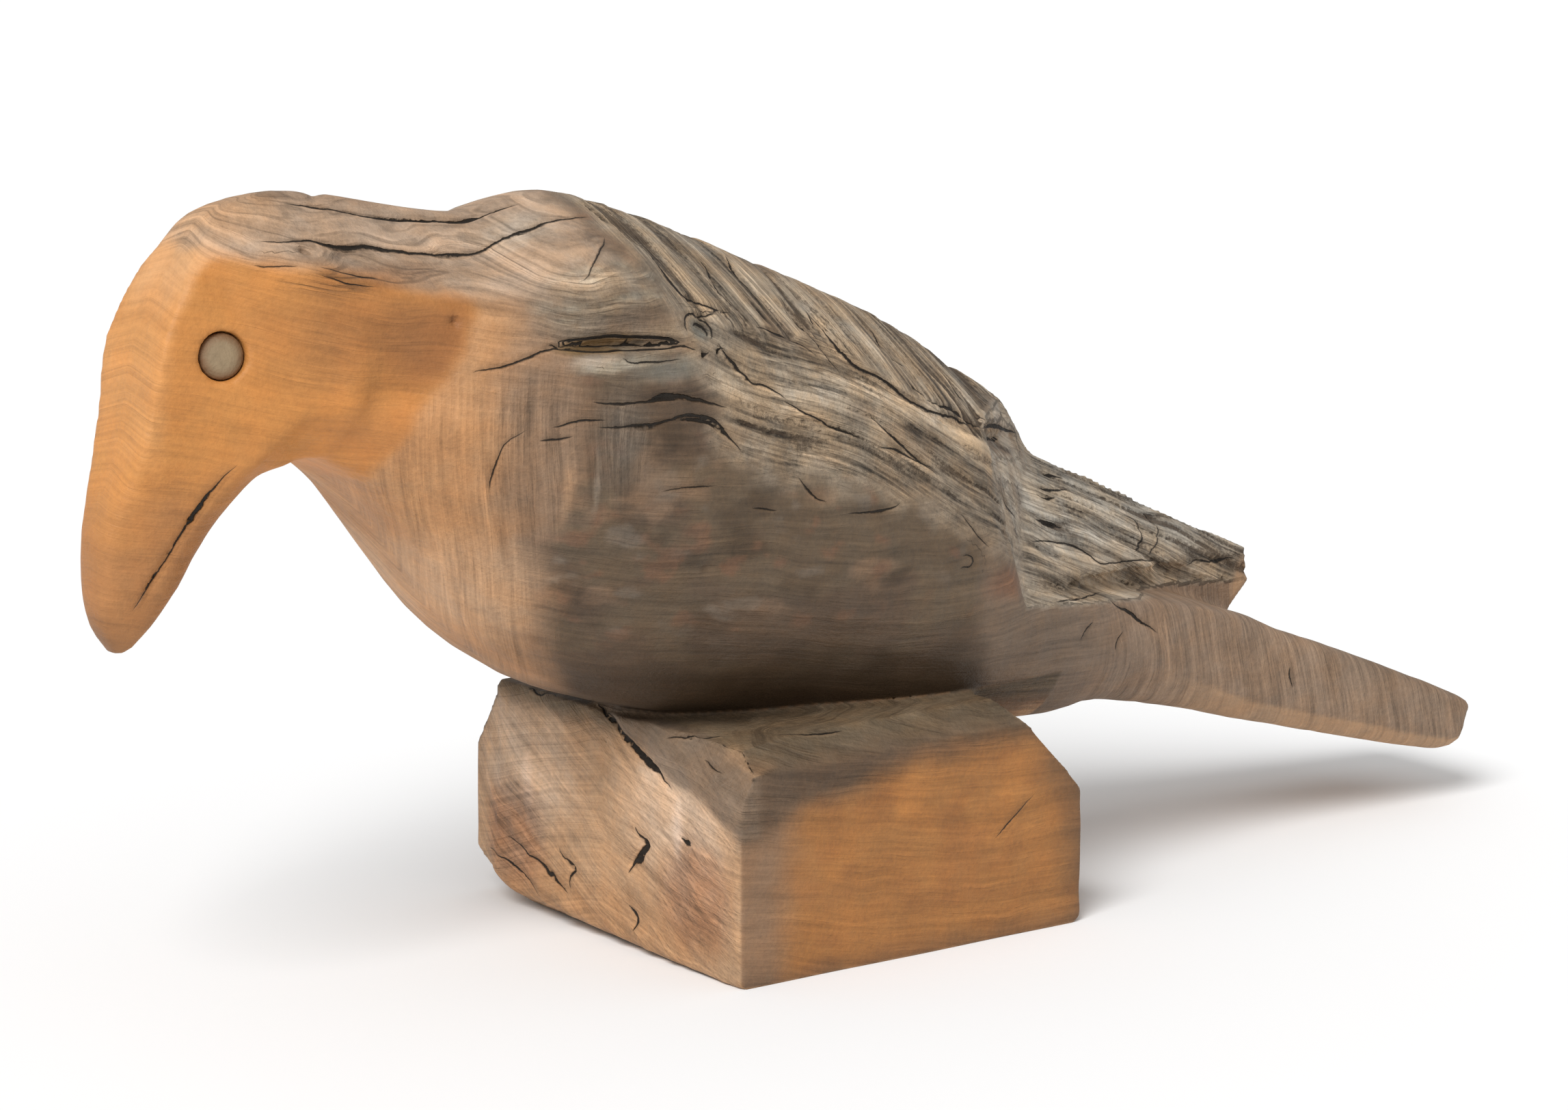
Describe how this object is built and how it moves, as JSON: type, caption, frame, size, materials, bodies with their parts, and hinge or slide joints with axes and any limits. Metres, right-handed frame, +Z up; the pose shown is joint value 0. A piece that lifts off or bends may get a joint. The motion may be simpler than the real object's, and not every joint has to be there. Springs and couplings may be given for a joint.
{
  "type": "carved wooden bird",
  "caption": "Folk-carved wooden bird with a long downturned bill, leaning forward on a chunky block base it is cut in one piece with; weathered wings, pegged eyes.",
  "frame": {"origin": "middle of the block's underside", "axes": "-X is the way the head points, +X the tail, +Y the bird's right side, +Z up"},
  "size_m": [0.3845, 0.108, 0.1804],
  "materials": {
    "weathered_wood": "bare softwood, worn smooth and orange-brown on the head, breast and block's side, weathered grey-brown with open grain, checks and cracks on the nape, wings and block's front",
    "grey_peg": "grey-brown weathered round peg, low dome"
  },
  "bodies": {
    "root": {"carved_bird_on_block": "weathered_wood", "eye_peg_left": "grey_peg", "eye_peg_right": "grey_peg"}
  },
  "joints": []
}
